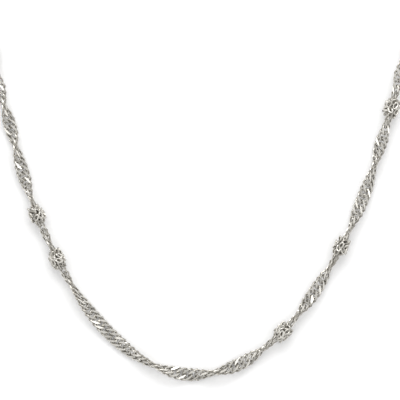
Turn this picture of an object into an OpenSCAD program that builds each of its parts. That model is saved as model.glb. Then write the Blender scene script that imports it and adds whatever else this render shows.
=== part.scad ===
// Twisted singapore chain necklace with knot stations, laid in its wearing loop on a surface.
// Millimetres. The loop lies on z = 0 round the origin, with its front at -Y and its clasp at +Y.

/* [Chain] */
// Width of the twisted ribbon where it lies flat
chain_w = 2.5; // [2:0.1:3]
// Thickness of the ribbon
chain_t = 0.9; // [0.8:0.05:1.2]
// Width of the chain where a knot or an end eye grips it
waist_w = 0.9; // [0.8:0.05:1.2]
// Growth of the half-width for each millimetre away from a grip
flare = 0.18; // [0.16:0.01:0.24]
// Drop of the ribbon for each millimetre away from a grip that holds it up
sag = 0.06; // [0.04:0.01:0.1]
// Space left under the flat stretches of the ribbon
lobe_gap = 0.2; // [0:0.05:0.4]
// Share of a half-turn's pace that the ribbon loses where it lies flat
dwell = 0.1; // [0:0.05:0.4]

/* [Knots] */
// Wire of a knot's rings
knot_wire = 0.36; // [0.3:0.02:0.46]
// Outside diameter of a knot's small rings
knot_ring_od = 1.56; // [1.4:0.02:1.8]
// Clearance between a knot and the chain inside it
knot_clearance = 0.12; // [0.1:0.01:0.2]

/* [Fastening] */
// Outside diameter of the eye at each end of the chain
end_eye_od = 2.2; // [2:0.1:2.6]
// Wire of the end eyes
end_eye_wire = 0.45; // [0.35:0.05:0.5]
// Outside diameter of the two loose rings
ring_od = 3; // [3:0.1:3.6]
// Wire of the two loose rings
ring_wire = 0.5; // [0.4:0.05:0.5]
// Outside diameter of the clasp's round body
clasp_od = 5.5; // [5:0.1:7]
// Thickness of the clasp's round body
clasp_tube = 1.1; // [0.8:0.05:1.2]
// Outside diameter of the clasp's eye
clasp_eye_od = 2.4; // [2.3:0.1:3]
// Wire of the clasp's eye
clasp_eye_wire = 0.5; // [0.4:0.05:0.6]
// Gap between rings that pass through each other
link_gap = 0.1; // [0.05:0.01:0.12]

/* [Hidden] */
// Place of the first knot's name in the list
first_knot = 4;
SILVER = [0.78, 0.77, 0.74];

// Route seen from above, [x, y]: the chain from the fastening down the left side, round the front
// and up the right side, and last the middle of the fastening, whose length sets the chain's ends
ROUTE = [
    [-17, 89.1], [-28.5, 83.5], [-38, 74], [-45, 62.5], [-49, 48.5], [-50.5, 34],
    [-50, 19.5], [-48.5, 5], [-45.5, -9], [-42.5, -22], [-39.5, -34], [-37, -43],
    [-34.5, -52], [-31.5, -60.5], [-27.5, -69], [-23, -76.5], [-17, -83.5], [-10, -88.7],
    [-1.5, -91.2], [7.5, -89.5], [15, -84.5], [21, -78], [26, -70.5], [30.5, -62],
    [34, -53.5], [36.5, -45.5], [39, -37], [42.5, -23], [45.5, -9], [48.5, 5],
    [50, 19.5], [50.5, 34], [49, 48.5], [45, 62.5], [38, 74], [28.5, 83.5],
    [17, 89.1], [0, 89.6]
];

// Rhythm of the ribbon's half-turns along the front, which repeats both ways to the ends:
// [length as a share of half_turn, place of a knot as a share of that length, or -1 for none]
TURNS = [
    [0.72, -1], [0.97, -1], [0.84, 0.31], [0.78, 0.33], [2.05, -1], [1.03, -1], [0.95, -1],
    [0.81, 0.53], [1.02, -1], [0.67, 0.56], [1.24, -1], [1.02, -1], [0.93, 0]
];
half_turn = 11.6;
// Share of half_turn past which a slow half-turn has more sections
slow_turn = 1.5;
// Distance back from the middle of the chain to the rhythm's first half-turn
rhythm_back = 70.3;

// Small rings of a knot: [side of its middle, angle round the chain, lean]
KNOT_ROWS = [
    [-1, 0, 22], [-1, 120, -18], [-1, 240, 24],
    [1, 60, -24], [1, 180, 16], [1, 300, -20]
];
// Tip of each small ring towards the chain at the knot's ends
knot_tip = 5;
// Turn of each knot about the chain from the knot before it
knot_step = 77;
// Distance of the small rings from the knot's middle, as a share of their radius
knot_spread = 1.1;
// Distance kept free of other sections on each side of a knot, as a share of its reach
knot_room = 1.8;
// Half the stretch of route that a heading is taken over
heading_half = 0.5;

// Sides of the ribbon's swept form
sides = 8;
// Steps of the route between two of its points
route_steps = 12;
// Facets round a ring and round its wire
ring_fn = 30;
wire_fn = 14;

knot_r = (knot_ring_od - knot_wire) / 2;
knot_along = knot_spread * knot_r;
knot_reach = knot_along + knot_r;
knot_core = waist_w / 2 + (flare + sag) * knot_reach + knot_clearance + knot_wire / 2
    + knot_r * sin(knot_tip);
knot_h = max([for (row = KNOT_ROWS)
    norm([knot_core + knot_r * sin(abs(row[2])), knot_r * cos(row[2])])]) + knot_wire / 2;
// Nearest that another section of the ribbon may come to a knot's middle
knot_keep = knot_room * knot_reach;

end_eye_r = (end_eye_od - end_eye_wire) / 2;
ring_r = (ring_od - ring_wire) / 2;
clasp_r = (clasp_od - clasp_tube) / 2;
clasp_eye_r = (clasp_eye_od - clasp_eye_wire) / 2;
fastening_h = ring_od / 2;

// Distance between the middles of two rings that hang in each other
function hooked(r1, wire1, r2, wire2) = r1 + r2 - (wire1 + wire2) / 2 - link_gap;

fastening_len = 2 * end_eye_r + clasp_eye_r + clasp_r
    + hooked(end_eye_r, end_eye_wire, ring_r, ring_wire)
    + hooked(ring_r, ring_wire, clasp_eye_r, clasp_eye_wire)
    + hooked(clasp_r, clasp_tube, ring_r, ring_wire)
    + hooked(ring_r, ring_wire, end_eye_r, end_eye_wire);
eye_left_x = end_eye_r - fastening_len / 2;
ring_left_x = eye_left_x + hooked(end_eye_r, end_eye_wire, ring_r, ring_wire);
clasp_eye_x = ring_left_x + hooked(ring_r, ring_wire, clasp_eye_r, clasp_eye_wire);
clasp_x = clasp_eye_x + clasp_eye_r + clasp_r;
ring_right_x = clasp_x + hooked(clasp_r, clasp_tube, ring_r, ring_wire);
eye_right_x = ring_right_x + hooked(ring_r, ring_wire, end_eye_r, end_eye_wire);

fastening_at = ROUTE[len(ROUTE) - 1];
fastening_half = [fastening_len / 2, 0];
POINTS = concat(
    [fastening_at - fastening_half],
    [for (i = [0 : len(ROUTE) - 2]) ROUTE[i]],
    [fastening_at + fastening_half]
);

// Smooth curve from b to c, with a and d as their neighbours
function smooth(a, b, c, d, u) =
    (2 * b + (c - a) * u + (2 * a - 5 * b + 4 * c - d) * u * u
    + (3 * b - a - 3 * c + d) * u * u * u) / 2;

function point(i) = POINTS[(i + len(POINTS)) % len(POINTS)];

PATH = concat(
    [for (i = [0 : len(POINTS) - 2], k = [0 : route_steps - 1])
        smooth(point(i - 1), point(i), point(i + 1), point(i + 2), k / route_steps)],
    [point(-1)]
);
ARC = [for (i = 0, s = 0; i < len(PATH); i = i + 1,
    s = s + (i < len(PATH) ? norm(PATH[i] - PATH[i - 1]) : 0)) s];
chain_len = ARC[len(ARC) - 1];
X_ALONG = [for (i = [0 : len(PATH) - 1]) [ARC[i], PATH[i][0]]];
Y_ALONG = [for (i = [0 : len(PATH) - 1]) [ARC[i], PATH[i][1]]];

// Place on the route, and its heading, at arc length s
function place(s) = [lookup(s, X_ALONG), lookup(s, Y_ALONG)];
function heading(s) =
    let (ahead = place(min(s + heading_half, chain_len)))
    let (step = ahead - place(max(s - heading_half, 0)))
    atan2(step[1], step[0]);

// Running total of the rhythm's lengths up to row i
function turns_before(i) = i == 0 ? 0 : turns_before(i - 1) + TURNS[i - 1][0] * half_turn;
rhythm_len = turns_before(len(TURNS));
rhythm_start = chain_len / 2 - rhythm_back;
REPEATS = [-2 : 2];

function turn_start(lap, i) = rhythm_start + lap * rhythm_len + turns_before(i);
function turn_len(i) = TURNS[i][0] * half_turn;
function on_chain(s, margin) = s > margin && s < chain_len - margin;

KNOTS = [for (lap = REPEATS, i = [0 : len(TURNS) - 1])
    let (s = turn_start(lap, i) + TURNS[i][1] * turn_len(i))
    if (TURNS[i][1] >= 0 && on_chain(s, 2 * knot_keep)) s];

function knot_distance(s) = min([for (k = KNOTS) abs(s - k)]);
function end_distance(s) = min(s, chain_len - s);
function reach_limit(s) = waist_w / 2 + flare * min(knot_distance(s), end_distance(s));
// Height that the nearest grip keeps the ribbon up to
function held_up(s) =
    max(knot_h - sag * knot_distance(s), fastening_h - sag * end_distance(s));

// Angle of the ribbon's width above the surface where the ribbon stands on its edge
on_edge = 90;
// The same angle at share u of a half-turn
function twist(u) = on_edge + 180 * (u + dwell * sin(360 * u) / (2 * PI));
// Reach of the ribbon's oval section in direction a, turned by psi
function oval(a, psi) =
    let (w = chain_w / 2, t = chain_t / 2)
    w * t / norm([t * cos(a - psi), w * sin(a - psi)]);
// Height of the turned section over its middle
function rise(s, psi) =
    min(norm([chain_w * sin(psi), chain_t * cos(psi)]) / 2, reach_limit(s));

// Sections of the ribbon: [arc length, turn, height of the middle]
function edge_on(s) = [s, on_edge, max(rise(s, on_edge), held_up(s))];
function gripped(s) = [s, on_edge, knot_h];
function open_at(s, u) = [s, twist(u), max(rise(s, twist(u)) + lobe_gap, held_up(s))];
// Shares of a half-turn where the ribbon lies open, more of them where it turns slowly
function open_shares(length, knot_at) =
    knot_at >= 0.5 ? [knot_at / 2]
    : knot_at >= 0 ? [(1 + knot_at) / 2]
    : length > slow_turn * half_turn ? [0.25, 0.5, 0.75] : [0.5];
function is_open(s) = on_chain(s, knot_keep) && knot_distance(s) > knot_keep;
function turn_sections(start, length, knot_at) =
    let (open = [for (u = open_shares(length, knot_at)) if (is_open(start + u * length))
        open_at(start + u * length, u)])
    let (knot = [for (s = KNOTS) if (s >= start && s < start + length) gripped(s)])
    concat(
        is_open(start) ? [edge_on(start)] : [],
        knot_at < 0.5 ? concat(knot, open) : concat(open, knot)
    );

SECTIONS = concat(
    [[0, on_edge, fastening_h]],
    [for (lap = REPEATS, i = [0 : len(TURNS) - 1])
        each turn_sections(turn_start(lap, i), turn_len(i), TURNS[i][1])],
    [[chain_len, on_edge, fastening_h]]
);

function section_point(section, a) =
    let (s = section[0], h = heading(s), p = place(s))
    let (r = min(oval(a, section[1]), reach_limit(s)), side = r * cos(a))
    [p[0] - side * sin(h), p[1] + side * cos(h), section[2] + r * sin(a)];

// The ribbon as one swept form, with an eye soldered on each end
module chain() {
    last = len(SECTIONS) - 1;
    points = [for (section = SECTIONS, j = [0 : sides - 1])
        section_point(section, j * 360 / sides)];
    walls = [for (i = [0 : last - 1], j = [0 : sides - 1])
        let (a = i * sides + j, b = i * sides + (j + 1) % sides)
        each [[a, b + sides, b], [a, a + sides, b + sides]]];
    caps = [
        [for (j = [0 : sides - 1]) j],
        [for (j = [0 : sides - 1]) last * sides + sides - 1 - j]
    ];
    color(SILVER) union() {
        polyhedron(points, concat(walls, caps), convexity = 10);
        at_fastening(eye_left_x) standing() wire_ring(end_eye_r, end_eye_wire);
        at_fastening(eye_right_x) wire_ring(end_eye_r, end_eye_wire);
    }
}

module wire_ring(r, wire) {
    rotate_extrude($fn = ring_fn) translate([r, 0]) circle(d = wire, $fn = wire_fn);
}

module at_fastening(x) {
    translate([fastening_at[0] + x, fastening_at[1], fastening_h]) children();
}

module standing() {
    rotate([90, 0, 0]) children();
}

// Loose ring between the left end eye and the clasp's eye
module ring_left() {
    color(SILVER) at_fastening(ring_left_x) wire_ring(ring_r, ring_wire);
}

// Loose ring that the clasp closes on
module ring_right() {
    color(SILVER) at_fastening(ring_right_x) standing() wire_ring(ring_r, ring_wire);
}

// Round clasp with its eye, as one plain piece
module clasp() {
    color(SILVER) union() {
        at_fastening(clasp_x) wire_ring(clasp_r, clasp_tube);
        at_fastening(clasp_eye_x) standing() wire_ring(clasp_eye_r, clasp_eye_wire);
    }
}

// Cluster of small rings soldered on a ring that runs round the chain
module knot(k) {
    s = KNOTS[k];
    color(SILVER) translate([place(s)[0], place(s)[1], knot_h])
        rotate([0, 0, heading(s)]) rotate([k * knot_step, 0, 0]) union() {
            rotate([0, 90, 0]) wire_ring(knot_core, knot_wire);
            for (row = KNOT_ROWS)
                rotate([row[1], 0, 0]) translate([row[0] * knot_along, 0, knot_core])
                    rotate([row[2], row[0] * knot_tip, 0]) wire_ring(knot_r, knot_wire);
        }
}

chain();
ring_left();
ring_right();
clasp();
for (k = [0 : len(KNOTS) - 1])
    knot(k);
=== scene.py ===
"""Looks of a twisted silver neck chain with knot stations, laid in its wearing loop on a pale surface.

Route, rhythm and sizes are those of the part's solids, in millimetres until MM makes them metres.
The lights and the surface are in metres. Angles of pieces are in degrees.
"""

import math
import random
from bisect import bisect_right

import bmesh
import bpy
from mathutils import Matrix, Vector


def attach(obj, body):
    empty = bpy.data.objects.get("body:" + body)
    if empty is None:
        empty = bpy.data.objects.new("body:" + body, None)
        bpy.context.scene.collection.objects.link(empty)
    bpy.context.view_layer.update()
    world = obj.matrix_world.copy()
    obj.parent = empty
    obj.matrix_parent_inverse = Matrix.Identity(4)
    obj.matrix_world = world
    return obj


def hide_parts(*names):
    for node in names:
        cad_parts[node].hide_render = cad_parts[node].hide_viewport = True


MM = 0.001

# Thickness of the twisted ribbon that the links make up, and its width where a knot grips it
RIBBON_THICKNESS = 0.9
WAIST_WIDTH = 0.9
# How fast the ribbon widens beside a knot, and how fast it falls from what holds it up
FLARE = 0.18
SAG = 0.06
# Lift of the ribbon where it lies flat, and how much slower it turns there
LOBE_GAP = 0.2
DWELL = 0.1

# Route seen from above: the chain from the fastening down the left side, round the front and up
# the right side, and last the middle of the fastening
ROUTE = [
    (-17, 89.1), (-28.5, 83.5), (-38, 74), (-45, 62.5), (-49, 48.5), (-50.5, 34),
    (-50, 19.5), (-48.5, 5), (-45.5, -9), (-42.5, -22), (-39.5, -34), (-37, -43),
    (-34.5, -52), (-31.5, -60.5), (-27.5, -69), (-23, -76.5), (-17, -83.5), (-10, -88.7),
    (-1.5, -91.2), (7.5, -89.5), (15, -84.5), (21, -78), (26, -70.5), (30.5, -62),
    (34, -53.5), (36.5, -45.5), (39, -37), (42.5, -23), (45.5, -9), (48.5, 5),
    (50, 19.5), (50.5, 34), (49, 48.5), (45, 62.5), (38, 74), (28.5, 83.5),
    (17, 89.1), (0, 89.6),
]
# Steps of the route between two of its points, and half the stretch that a heading is taken over
ROUTE_STEPS = 12
HEADING_HALF = 0.5

# Half-turns of the ribbon along the front, which repeat both ways to the ends:
# (length as a share of HALF_TURN, place of a knot as a share of that length or None)
TURNS = [
    (0.72, None), (0.97, None), (0.84, 0.31), (0.78, 0.33), (2.05, None), (1.03, None),
    (0.95, None), (0.81, 0.53), (1.02, None), (0.67, 0.56), (1.24, None), (1.02, None),
    (0.93, 0),
]
HALF_TURN = 11.6
# Distance back from the middle of the chain to the rhythm's first half-turn
RHYTHM_BACK = 70.3
# Repeats of the rhythm to each side, enough to pass the chain's ends
RHYTHM_LAPS = 2

# One link, by the middle line of its wire: a pinched oval that waves up and down twice
LINK_HALF_LENGTH = 1.54
LINK_HALF_WIDTH = 1.16
LINK_WAVE = 0.39
LINK_STEEPNESS = 0.18
LINK_PINCH = 0.08
LINK_WIRE = 0.46
# Distance from link to link, steps round a link, and sides of the wire of links and loops
LINK_PITCH = 1.2
LINK_STEPS = 12
WIRE_SIDES = 6
# Radius of the round ring that a link or a loop is bent from
BLANK_RADIUS = 1
# Distance from the link's middle at which both its faces are ground flat
FLAT_HEIGHT = 0.42
# Most that a link tilts by chance, in degrees, and the seed of the links' tilts and tones
LINK_LOOSENESS = 3.5
LINK_SEED = 7
# Distance from the chain's middle to the outside of a link's wire, if its sides were round
LINK_REACH = LINK_HALF_WIDTH + LINK_WIRE / 2
# Gap between an end eye and the first link, which hang in each other
LINK_END_GAP = 0.05
# Half the width that a knot leaves the links inside it, and how fast they open beside it
KNOT_HELD = 0.66
KNOT_OPENING = 0.026
# Painted shade and tarnish at the chain's middle as a share of that at its edges, and the mask in a
# knot's middle, painted shade of the knot over the links, which falls off beside it
MIDDLE_SHADE_AND_TARNISH = 0.25
KNOT_SHADE = 1.3

# Knots: rings round the chain, each given as (side of the knot's middle, angle, lean)
KNOT_ROWS = [(-1, 0, 22), (-1, 120, -18), (-1, 240, 24), (1, 60, -24), (1, 180, 16), (1, 300, -20)]
KNOT_WIRE = 0.36
KNOT_RING_OD = 1.56
KNOT_CLEARANCE = 0.12
# Distance of the rings from the knot's middle, as a share of their radius
KNOT_SPREAD = 1.1
# Tip of each ring towards the chain, and turn of each knot about the chain from the knot before it
KNOT_TIP = 5
KNOT_STEP = 77
# Distance kept free on each side of a knot, as a share of its reach
KNOT_ROOM_SHARE = 1.8

# Loops that a knot's rings are drawn out to: rows of them round the chain, each given as
# (place along the chain, how many, distance from the chain's middle)
LOOP_ROWS = [(-1.2, 5, 0.95), (-0.4, 7, 1.34), (0.4, 7, 1.34), (1.2, 5, 0.95)]
LOOP_HALF_LENGTH = 0.66
LOOP_HALF_WIDTH = 0.38
LOOP_WAVE = 0.1
LOOP_STEPS = 12
# Most that a loop leans, spins and strays round the chain by chance, in degrees, and moves
LOOP_LEAN = 30
LOOP_SPIN = 60
LOOP_STRAY = 12
LOOP_UNEVEN = 0.16
# Distance from the chain's middle at which a loop's wire has no painted shade and tarnish left
LOOP_SHADE_END = 1.75

# Fastening: from one end of the chain to the other through the clasp
FASTENING_LENGTH = 12.15
FASTENING_HEIGHT = 1.5
END_EYE_RADIUS = 0.875
END_EYE_WIRE = 0.45
END_EYE_STEPS = 30
END_EYE_SIDES = 12
# Width of the chain where it hangs in an end eye
END_LINK_WIDTH = 1.9
# Stretch at each end over which the ribbon turns to suit its eye
END_TURN = 9.0

# Tone and mask of painted shade and tarnish of silver that is not a link or a loop: the clasp, the rings
# and the end eyes
PLAIN_TONE = 0.6
PLAIN_SHADE_AND_TARNISH = 0.25
# Colours of polished silver at both ends of the tone, and the dark colour painted into its recesses,
# partly as tarnish and partly as painted shade
PALE_SILVER = (0.77, 0.748, 0.698)
GREY_SILVER = (0.58, 0.561, 0.517)
SHADE_AND_TARNISH_COLOUR = (0.24, 0.222, 0.19)
# Mask of painted shade and tarnish from none to darkest, and the share of the dark colour there
SHADE_AND_TARNISH_RANGE = (0.05, 0.8)
SHADE_AND_TARNISH_SHARE_RANGE = (0.0, 0.85)
# Clouded roughness: the noise's range, and the roughness that it becomes
CLOUD_SCALE = 900
CLOUD_DETAIL = 3
CLOUD_RANGE = (0.35, 0.7)
ROUGHNESS_RANGE = (0.12, 0.24)
# Fine grain of the silver
GRAIN_SCALE = 9000
GRAIN_DETAIL = 2
GRAIN_STRENGTH = 0.25
GRAIN_DEPTH = 0.01

# Pale surface: its reach to each side, its cells along each side, and its grey
SURFACE_REACH = 3
SURFACE_CELLS = 8
SURFACE_GREY = 0.96

# Brightness of the room by height: (sine of the height above the horizon, grey)
ROOM_RINGS = [(0.0, 0.7), (0.1, 0.55), (0.3, 0.6), (0.50, 0.9), (0.75, 0.95), (0.92, 0.8)]
ROOM_STRENGTH = 1.02

# Soft lights, which all point at LIGHT_AIM: (name, place, size, watts)
LIGHTS = [
    ("key", (0.02, 0.55, 0.45), (0.7, 0.4), 3.0),
    ("left_fill", (-0.6, 0.0, 0.45), (0.26, 0.55), 0.58),
    ("right_fill", (0.6, -0.05, 0.45), (0.26, 0.55), 0.58),
]
LIGHT_AIM = (0, -0.05, 0)

# Camera, which looks straight down at the front, and the width of the surface in its picture
CAMERA_PLACE = (0.52, -56.3, 900)
PICTURED_WIDTH = 80
SENSOR_WIDTH = 36
CLIP_START = 10

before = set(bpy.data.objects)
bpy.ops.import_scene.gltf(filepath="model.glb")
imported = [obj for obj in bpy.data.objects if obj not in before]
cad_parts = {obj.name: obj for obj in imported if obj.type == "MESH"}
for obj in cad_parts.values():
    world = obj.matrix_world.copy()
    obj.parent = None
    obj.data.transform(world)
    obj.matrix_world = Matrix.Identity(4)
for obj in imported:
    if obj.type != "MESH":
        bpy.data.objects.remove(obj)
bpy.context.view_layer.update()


# Route and twist

def smooth_between(a, b, c, d, u):
    """Point at share u of the way from b to c on the smooth curve through a, b, c and d."""
    return (2 * b + (c - a) * u + (2 * a - 5 * b + 4 * c - d) * u**2
            + (3 * b - a - 3 * c + d) * u**3) / 2


def route_points():
    """The route's points from one end of the chain to the other."""
    middle = Vector(ROUTE[-1])
    half = Vector((FASTENING_LENGTH / 2, 0))
    return [middle - half] + [Vector(p) for p in ROUTE[:-1]] + [middle + half]


def traced_route():
    """The smooth route as many short steps, and the distance along it to each."""
    points = route_points()
    count = len(points)
    path = []
    for i in range(count - 1):
        near = [points[(i + j) % count] for j in (-1, 0, 1, 2)]
        path += [smooth_between(*near, k / ROUTE_STEPS) for k in range(ROUTE_STEPS)]
    path.append(points[-1])
    arc = [0.0]
    for a, b in zip(path, path[1:]):
        arc.append(arc[-1] + (b - a).length)
    return path, arc


PATH, ARC = traced_route()
CHAIN_LENGTH = ARC[-1]


def place(s):
    """Point of the route at distance s along it."""
    i = min(max(bisect_right(ARC, s) - 1, 0), len(ARC) - 2)
    share = (s - ARC[i]) / (ARC[i + 1] - ARC[i])
    return PATH[i].lerp(PATH[i + 1], share)


def heading(s):
    """Direction of the route at distance s along it."""
    return (place(s + HEADING_HALF) - place(s - HEADING_HALF)).normalized()


STARTS = [sum(length for length, _ in TURNS[:i]) * HALF_TURN for i in range(len(TURNS) + 1)]
RHYTHM_LENGTH = STARTS[-1]
RHYTHM_START = CHAIN_LENGTH / 2 - RHYTHM_BACK


def rhythm_twist(s):
    """Angle of the ribbon by the rhythm alone: upright where each half-turn starts."""
    lap, along = divmod(s - RHYTHM_START, RHYTHM_LENGTH)
    i = min(bisect_right(STARTS, along) - 1, len(TURNS) - 1)
    u = (along - STARTS[i]) / (TURNS[i][0] * HALF_TURN)
    turns = lap * len(TURNS) + i + u + DWELL * math.sin(math.tau * u) / math.tau
    return math.pi * (turns + 0.5)


def to_nearest(angle, wanted):
    """How far angle has to turn to lie at wanted, give or take half-turns."""
    return (wanted - angle + math.pi / 2) % math.pi - math.pi / 2


LEFT_TURN = to_nearest(rhythm_twist(0), 0)
RIGHT_TURN = to_nearest(rhythm_twist(CHAIN_LENGTH), math.pi / 2)


def eased(share):
    share = min(max(share, 0.0), 1.0)
    return share * share * (3 - 2 * share)


def twist(s):
    """Angle of the ribbon: flat at the left end and upright at the right end, as their eyes ask."""
    return (rhythm_twist(s) + LEFT_TURN * (1 - eased(s / END_TURN))
            + RIGHT_TURN * (1 - eased((CHAIN_LENGTH - s) / END_TURN)))


def end_distance(s):
    return min(s, CHAIN_LENGTH - s)


KNOT_RADIUS = (KNOT_RING_OD - KNOT_WIRE) / 2
KNOT_ALONG = KNOT_SPREAD * KNOT_RADIUS
KNOT_REACH = KNOT_ALONG + KNOT_RADIUS
KNOT_CORE = (WAIST_WIDTH / 2 + (FLARE + SAG) * KNOT_REACH + KNOT_CLEARANCE + KNOT_WIRE / 2
             + KNOT_RADIUS * math.sin(math.radians(KNOT_TIP)))
KNOT_ROOM = KNOT_ROOM_SHARE * KNOT_REACH


def knot_height():
    """Height of a knot's middle, with its widest ring on the surface."""
    reaches = []
    for _, _, lean in KNOT_ROWS:
        lean = math.radians(abs(lean))
        out = KNOT_CORE + KNOT_RADIUS * math.sin(lean)
        reaches.append(math.hypot(out, KNOT_RADIUS * math.cos(lean)))
    return max(reaches) + KNOT_WIRE / 2


KNOT_HEIGHT = knot_height()


def knot_places():
    """Distances along the chain of the knots, none of them near its ends."""
    found = []
    for lap in range(-RHYTHM_LAPS, RHYTHM_LAPS + 1):
        for i, (length, knot_at) in enumerate(TURNS):
            if knot_at is None:
                continue
            s = RHYTHM_START + lap * RHYTHM_LENGTH + STARTS[i] + knot_at * length * HALF_TURN
            if 2 * KNOT_ROOM < s < CHAIN_LENGTH - 2 * KNOT_ROOM:
                found.append(s)
    return found


KNOTS = knot_places()


def knot_distance(s):
    return min(abs(s - k) for k in KNOTS)


def reach_limit(s):
    """Half the width that the ribbon has room for at s, between knots and end eyes."""
    return min(WAIST_WIDTH / 2 + FLARE * knot_distance(s), END_LINK_WIDTH / 2 + FLARE * end_distance(s))


def middle_height(s):
    """Height of the ribbon's middle: it rests on the surface, or the nearest knot or eye holds it up."""
    psi = twist(s)
    limit = reach_limit(s)
    wide = min(LINK_REACH, limit) * math.sin(psi)
    thick = min(RIBBON_THICKNESS / 2, limit) * math.cos(psi)
    resting = math.hypot(wide, thick) + LOBE_GAP * math.cos(psi) ** 2
    return max(resting, KNOT_HEIGHT - SAG * knot_distance(s), FASTENING_HEIGHT - SAG * end_distance(s))


def link_limit(s):
    """Half the width that the links have room for at s: a knot holds them, and they open beside it."""
    beside = max(knot_distance(s) - KNOT_REACH, 0)
    return min(KNOT_HELD + KNOT_OPENING * beside**2, END_LINK_WIDTH / 2 + FLARE * end_distance(s))


def on_ribbon(s, y, z):
    """Place in metres of a point y across and z above the ribbon's middle, at s along it."""
    psi = twist(s)
    limit = link_limit(s)
    y *= min(1, limit / LINK_REACH)
    z *= min(1, 2 * limit / RIBBON_THICKNESS)
    ahead = heading(s)
    side = y * math.cos(psi) - z * math.sin(psi)
    up = y * math.sin(psi) + z * math.cos(psi)
    at = place(s)
    height = max(middle_height(s) + up, 0)
    return Vector((at.x - ahead.y * side, at.y + ahead.x * side, height)) * MM


# Bodies and pieces

def turned(degrees, axis):
    return Matrix.Rotation(math.radians(degrees), 4, axis)


def wire_ring(radius, wire, steps, sides):
    """A round ring of wire about the origin, flat in XY."""
    ring = bmesh.new()
    weld = wire / 50
    stand = Matrix.Translation((radius, 0, 0)) @ turned(90, "X")
    bmesh.ops.create_circle(ring, radius=wire / 2, segments=sides, matrix=stand)
    bmesh.ops.spin(ring, geom=ring.verts[:] + ring.edges[:], cent=(0, 0, 0), axis=(0, 0, 1),
                   angle=math.tau, steps=steps, use_merge=True)
    bmesh.ops.remove_doubles(ring, verts=ring.verts[:], dist=weld)
    bmesh.ops.recalc_face_normals(ring, faces=ring.faces[:])
    for face in ring.faces:
        face.smooth = True
    return ring


def bend_along(ring, middle_line):
    """Bends a ring of BLANK_RADIUS so that the middle of its wire follows middle_line(angle)."""
    step = 0.01
    for vert in ring.verts:
        t = math.atan2(vert.co.y, vert.co.x)
        out = math.hypot(vert.co.x, vert.co.y) - BLANK_RADIUS
        along = (middle_line(t + step) - middle_line(t - step)).normalized()
        across = Vector((along.y, -along.x, 0)).normalized()
        above = across.cross(along)
        vert.co = middle_line(t) + across * out + above * vert.co.z


def as_mesh(body, name):
    mesh = bpy.data.meshes.new(name)
    body.to_mesh(mesh)
    body.free()
    return mesh


def marked_body():
    """An empty body, and its points' two layers for the silver: tone, and the mask of painted shade and
    tarnish.
    """
    body = bmesh.new()
    tone = body.verts.layers.float.new("tone")
    shade_and_tarnish = body.verts.layers.float.new("shade_and_tarnish")
    return body, tone, shade_and_tarnish


def added(body, mesh):
    """The points that a copy of the mesh adds to the body."""
    before = len(body.verts)
    body.from_mesh(mesh)
    body.verts.ensure_lookup_table()
    return body.verts[before:]


def finished(body, name, material):
    mesh = as_mesh(body, name)
    mesh.materials.append(material)
    piece = bpy.data.objects.new(name, mesh)
    bpy.context.scene.collection.objects.link(piece)
    return piece


# Links of the chain

def link_line(t):
    """Middle line of a link's wire at angle t round it."""
    even = 1 - LINK_PINCH
    return Vector((LINK_HALF_LENGTH * (even * math.cos(t) + LINK_PINCH * math.cos(3 * t)),
                   LINK_HALF_WIDTH * (even * math.sin(t) - LINK_PINCH * math.sin(3 * t)),
                   -LINK_WAVE * (math.sin(2 * t) + LINK_STEEPNESS * math.sin(6 * t))))


def grind_flat(body, height):
    """Takes off what lies past height on both faces and closes the cuts with flat faces."""
    for side in (1, -1):
        bmesh.ops.bisect_plane(body, geom=body.verts[:] + body.edges[:] + body.faces[:],
                               plane_co=(0, 0, side * height), plane_no=(0, 0, side),
                               clear_outer=True)
        rim = [edge for edge in body.edges if edge.is_boundary]
        made = bmesh.ops.holes_fill(body, edges=rim, sides=0)
        for edge in rim:
            edge.smooth = False
        for face in made["faces"]:
            face.smooth = False


def curb_link():
    """One link about the origin along X, turned half a step so that its sides and ends are straight."""
    link = wire_ring(BLANK_RADIUS, LINK_WIRE, LINK_STEPS, WIRE_SIDES)
    link.transform(turned(180 / LINK_STEPS, "Z"))
    bend_along(link, link_line)
    grind_flat(link, FLAT_HEIGHT)
    return as_mesh(link, "curb_link")


def link_places():
    """Even distances along the chain, from a link in one end eye to a link in the other."""
    first = LINK_HALF_LENGTH - END_EYE_WIRE / 2 - LINK_WIRE / 2 - LINK_END_GAP
    span = CHAIN_LENGTH - 2 * first
    count = round(span / LINK_PITCH)
    return [first + span * i / count for i in range(count + 1)]


def loosened(rng):
    """A small chance tilt of a link along and across the chain."""
    roll = turned(rng.uniform(-1, 1) * LINK_LOOSENESS, "X")
    return roll @ turned(rng.uniform(-1, 1) * LINK_LOOSENESS, "Y")


def link_shade_and_tarnish(s, y, z):
    """Painted shade and tarnish of a link's point: high between its faces and towards the edges, and
    painted shade where a knot covers it.
    """
    towards_edge = MIDDLE_SHADE_AND_TARNISH + (1 - MIDDLE_SHADE_AND_TARNISH) * abs(y) / LINK_REACH
    depth = (1 - (z / FLAT_HEIGHT) ** 2) * towards_edge
    # painted shade of the knot over the links inside it, falling off beside the knot
    painted_knot_shade = KNOT_SHADE - knot_distance(s) / KNOT_REACH
    return min(max(depth, painted_knot_shade, 0.0), 1.0)


def end_eye(side):
    """Eye at one end of the chain: upright at the left end, flat at the right end."""
    eye = wire_ring(END_EYE_RADIUS, END_EYE_WIRE, END_EYE_STEPS, END_EYE_SIDES)
    middle = ROUTE[-1]
    x = middle[0] + side * (FASTENING_LENGTH / 2 - END_EYE_RADIUS)
    stance = turned(90, "X") if side < 0 else Matrix.Identity(4)
    eye.transform(Matrix.Scale(MM, 4) @ Matrix.Translation((x, middle[1], FASTENING_HEIGHT)) @ stance)
    return as_mesh(eye, "end_eye")


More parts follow.
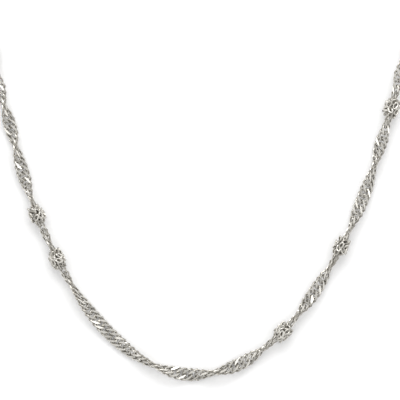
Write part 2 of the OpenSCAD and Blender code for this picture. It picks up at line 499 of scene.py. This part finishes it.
def chain_links(material):
    """All the links along the ribbon, and the eyes at the chain's ends."""
    rng = random.Random(LINK_SEED)
    pattern = curb_link()
    chain, tone, shade_and_tarnish = marked_body()
    for s in link_places():
        loose = loosened(rng)
        link_tone = rng.random()
        for vert in added(chain, pattern):
            x, y, z = loose @ vert.co
            vert[tone] = link_tone
            # mask of painted shade and tarnish at this point of the link
            vert[shade_and_tarnish] = link_shade_and_tarnish(s + x, y, z)
            vert.co = on_ribbon(s + x, y, z)
    for side in (-1, 1):
        for vert in added(chain, end_eye(side)):
            vert[tone] = PLAIN_TONE
            # a low, even mask of painted shade and tarnish on the end eyes
            vert[shade_and_tarnish] = PLAIN_SHADE_AND_TARNISH
    piece = finished(chain, "chain_links", material)
    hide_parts("chain")
    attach(piece, "root")


# Knots

def loop_line(t):
    """Middle line of a loop's wire at angle t round it."""
    return Vector((LOOP_HALF_LENGTH * math.cos(t), LOOP_HALF_WIDTH * math.sin(t),
                   LOOP_WAVE * math.sin(2 * t)))


def knot_loop():
    """A long loop of the knots' wire, flat in XY apart from a small wave."""
    loop = wire_ring(BLANK_RADIUS, KNOT_WIRE, LOOP_STEPS, WIRE_SIDES)
    bend_along(loop, loop_line)
    return as_mesh(loop, "knot_loop")


def loop_stands(rng):
    """How each loop of a knot stands round the chain, which runs along X."""
    stands = []
    for row, (along, count, reach) in enumerate(LOOP_ROWS):
        for i in range(count):
            angle = 360 / count * (i + row / 2) + rng.uniform(-LOOP_STRAY, LOOP_STRAY)
            out = Vector((along + rng.uniform(-LOOP_UNEVEN, LOOP_UNEVEN), 0,
                          reach + rng.uniform(-LOOP_UNEVEN, LOOP_UNEVEN)))
            stands.append(turned(angle, "X") @ Matrix.Translation(out)
                          @ turned(rng.uniform(-LOOP_LEAN, LOOP_LEAN), "Y")
                          @ turned(rng.uniform(-LOOP_LEAN, LOOP_LEAN), "X")
                          @ turned(rng.uniform(-LOOP_SPIN, LOOP_SPIN), "Z"))
    return stands


def knot_stand(k):
    """Place and turn of a knot in the scene."""
    at = place(KNOTS[k])
    ahead = heading(KNOTS[k])
    return (Matrix.Scale(MM, 4) @ Matrix.Translation((at.x, at.y, KNOT_HEIGHT))
            @ Matrix.Rotation(math.atan2(ahead.y, ahead.x), 4, "Z") @ turned(k * KNOT_STEP, "X"))


def knot_bunch(k, loop_mesh, material):
    """One knot: rows of small loops of wire round the chain, kept inside the knot's outline."""
    rng = random.Random(k)
    bunch, tone, shade_and_tarnish = marked_body()
    stand = knot_stand(k)
    for loop_stand in loop_stands(rng):
        loop_tone = rng.random()
        for vert in added(bunch, loop_mesh):
            local = loop_stand @ vert.co
            far = math.hypot(local.y, local.z)
            inwards = min(1, KNOT_HEIGHT / far)
            local.y *= inwards
            local.z *= inwards
            vert[tone] = loop_tone
            # painted shade and tarnish, darker the deeper the loop's wire lies inside the knot
            vert[shade_and_tarnish] = 1 - min(far / LOOP_SHADE_END, 1)
            vert.co = stand @ local
    name = f"knot_{k + 1:02d}"
    piece = finished(bunch, name + "_loops", material)
    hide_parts(name)
    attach(piece, "root")


def knots(material):
    loop_mesh = knot_loop()
    for k in range(len(KNOTS)):
        knot_bunch(k, loop_mesh, material)


# Materials

def node_group(name, inputs, outputs):
    """An empty shader group: inputs are (name, kind, value or None) and outputs (name, kind)."""
    group = bpy.data.node_groups.new(name, "ShaderNodeTree")
    for label, kind, value in inputs:
        socket = group.interface.new_socket(label, in_out="INPUT", socket_type=kind)
        if value is not None:
            socket.default_value = value
    for label, kind in outputs:
        group.interface.new_socket(label, in_out="OUTPUT", socket_type=kind)
    entry = group.nodes.new("NodeGroupInput")
    leave = group.nodes.new("NodeGroupOutput")
    return group, entry, leave


def mixed(tree, share, first, second):
    """Colour between first and second, each a colour or a socket, by a socket's share."""
    mix = tree.nodes.new("ShaderNodeMix")
    mix.data_type = "RGBA"
    tree.links.new(share, mix.inputs[0])
    for socket, value in ((mix.inputs[6], first), (mix.inputs[7], second)):
        if isinstance(value, tuple):
            socket.default_value = (*value, 1)
        else:
            tree.links.new(value, socket)
    return mix.outputs[2]


def ranged(tree, value, source, target):
    """Value stretched from one range to another and kept inside it."""
    node = tree.nodes.new("ShaderNodeMapRange")
    tree.links.new(value, node.inputs["Value"])
    node.inputs["From Min"].default_value, node.inputs["From Max"].default_value = source
    node.inputs["To Min"].default_value, node.inputs["To Max"].default_value = target
    return node.outputs["Result"]


def noise(tree, where, scale, detail):
    node = tree.nodes.new("ShaderNodeTexNoise")
    node.inputs["Scale"].default_value = scale
    node.inputs["Detail"].default_value = detail
    tree.links.new(where, node.inputs["Vector"])
    return node.outputs["Fac"]


def silver_shade_and_tarnish_group():
    """Colour, roughness and normal of silver with painted shade and tarnish: darker where that mask is
    high.
    """
    group, entry, leave = node_group(
        "silver_shade_and_tarnish",
        [("Vector", "NodeSocketVector", None), ("Tone", "NodeSocketFloat", PLAIN_TONE),
         ("Painted_shade_and_tarnish", "NodeSocketFloat", PLAIN_SHADE_AND_TARNISH)],
        [("Color", "NodeSocketColor"), ("Roughness", "NodeSocketFloat"), ("Normal", "NodeSocketVector")])
    where = entry.outputs["Vector"]

    polished = mixed(group, entry.outputs["Tone"], PALE_SILVER, GREY_SILVER)
    # the mask mixes in the dark colour as painted shade and tarnish
    shade_and_tarnish_share = ranged(group, entry.outputs["Painted_shade_and_tarnish"], SHADE_AND_TARNISH_RANGE, SHADE_AND_TARNISH_SHARE_RANGE)
    group.links.new(mixed(group, shade_and_tarnish_share, polished, SHADE_AND_TARNISH_COLOUR), leave.inputs["Color"])

    cloud = noise(group, where, CLOUD_SCALE, CLOUD_DETAIL)
    roughness = ranged(group, cloud, CLOUD_RANGE, ROUGHNESS_RANGE)
    group.links.new(roughness, leave.inputs["Roughness"])

    bump = group.nodes.new("ShaderNodeBump")
    bump.inputs["Strength"].default_value = GRAIN_STRENGTH
    bump.inputs["Distance"].default_value = GRAIN_DEPTH * MM
    group.links.new(noise(group, where, GRAIN_SCALE, GRAIN_DETAIL), bump.inputs["Height"])
    group.links.new(bump.outputs["Normal"], leave.inputs["Normal"])
    return group


def silver_material(name, shade_and_tarnish_group, layers):
    """Silver whose tone and mask of painted shade and tarnish come from the mesh's layers, given as
    (layer, socket).
    """
    material = bpy.data.materials.new(name)
    material.use_nodes = True
    tree = material.node_tree
    shader = tree.nodes["Principled BSDF"]
    shader.inputs["Metallic"].default_value = 1
    shade_and_tarnish_node = tree.nodes.new("ShaderNodeGroup")
    shade_and_tarnish_node.node_tree = shade_and_tarnish_group
    where = tree.nodes.new("ShaderNodeTexCoord")
    tree.links.new(where.outputs["Object"], shade_and_tarnish_node.inputs["Vector"])
    for layer, socket in layers:
        attribute = tree.nodes.new("ShaderNodeAttribute")
        attribute.attribute_name = layer
        tree.links.new(attribute.outputs["Fac"], shade_and_tarnish_node.inputs[socket])
    tree.links.new(shade_and_tarnish_node.outputs["Color"], shader.inputs["Base Color"])
    tree.links.new(shade_and_tarnish_node.outputs["Roughness"], shader.inputs["Roughness"])
    tree.links.new(shade_and_tarnish_node.outputs["Normal"], shader.inputs["Normal"])
    return material


# Surface, light and camera

def surface():
    floor = bmesh.new()
    bmesh.ops.create_grid(floor, x_segments=SURFACE_CELLS, y_segments=SURFACE_CELLS, size=SURFACE_REACH)
    paper = bpy.data.materials.new("white_surface")
    paper.use_nodes = True
    shader = paper.node_tree.nodes["Principled BSDF"]
    shader.inputs["Base Color"].default_value = (SURFACE_GREY, SURFACE_GREY, SURFACE_GREY, 1)
    shader.inputs["Roughness"].default_value = 1
    shader.inputs["Specular IOR Level"].default_value = 0
    finished(floor, "surface", paper)


def room():
    """A room that is bright overhead and darker low down."""
    world = bpy.data.worlds.new("room")
    world.use_nodes = True
    tree = world.node_tree
    backdrop = tree.nodes["Background"]
    where = tree.nodes.new("ShaderNodeTexCoord")
    split = tree.nodes.new("ShaderNodeSeparateXYZ")
    rings = tree.nodes.new("ShaderNodeValToRGB")
    tree.links.new(where.outputs["Generated"], split.inputs["Vector"])
    tree.links.new(split.outputs["Z"], rings.inputs["Fac"])
    stops = rings.color_ramp.elements
    stops.remove(stops[1])
    for at, _ in ROOM_RINGS[1:]:
        stops.new(at)
    for stop, (at, grey) in zip(stops, ROOM_RINGS):
        stop.position = at
        stop.color = (grey, grey, grey, 1)
    tree.links.new(rings.outputs["Color"], backdrop.inputs["Color"])
    backdrop.inputs["Strength"].default_value = ROOM_STRENGTH
    bpy.context.scene.world = world


def softbox(name, at, size, watts):
    light = bpy.data.lights.new(name, "AREA")
    light.shape = "RECTANGLE"
    light.size, light.size_y = size
    light.energy = watts
    lamp = bpy.data.objects.new(name, light)
    lamp.location = at
    lamp.rotation_mode = "QUATERNION"
    aim = Vector(LIGHT_AIM) - Vector(at)
    lamp.rotation_quaternion = aim.to_track_quat("-Z", "Y")
    lamp.visible_camera = False
    bpy.context.scene.collection.objects.link(lamp)


def photo_camera():
    data = bpy.data.cameras.new("camera")
    data.sensor_width = SENSOR_WIDTH
    data.lens = SENSOR_WIDTH * CAMERA_PLACE[2] / PICTURED_WIDTH
    data.clip_start = CLIP_START * MM
    camera = bpy.data.objects.new("camera", data)
    camera.location = Vector(CAMERA_PLACE) * MM
    bpy.context.scene.collection.objects.link(camera)
    bpy.context.scene.camera = camera


photo_camera()
surface()
room()
for light in LIGHTS:
    softbox(*light)
silver_shade_and_tarnish = silver_shade_and_tarnish_group()
# both silvers carry painted shade and tarnish: the links' and loops' from their layers, the rest an even
# amount
link_silver = silver_material("link_silver", silver_shade_and_tarnish, (("tone", "Tone"), ("shade_and_tarnish", "Painted_shade_and_tarnish")))
plain_silver = silver_material("plain_silver", silver_shade_and_tarnish, ())
chain_links(link_silver)
knots(link_silver)
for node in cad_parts.values():
    node.data.materials.clear()
    node.data.materials.append(plain_silver)

bpy.context.scene.view_settings.view_transform = "Standard"
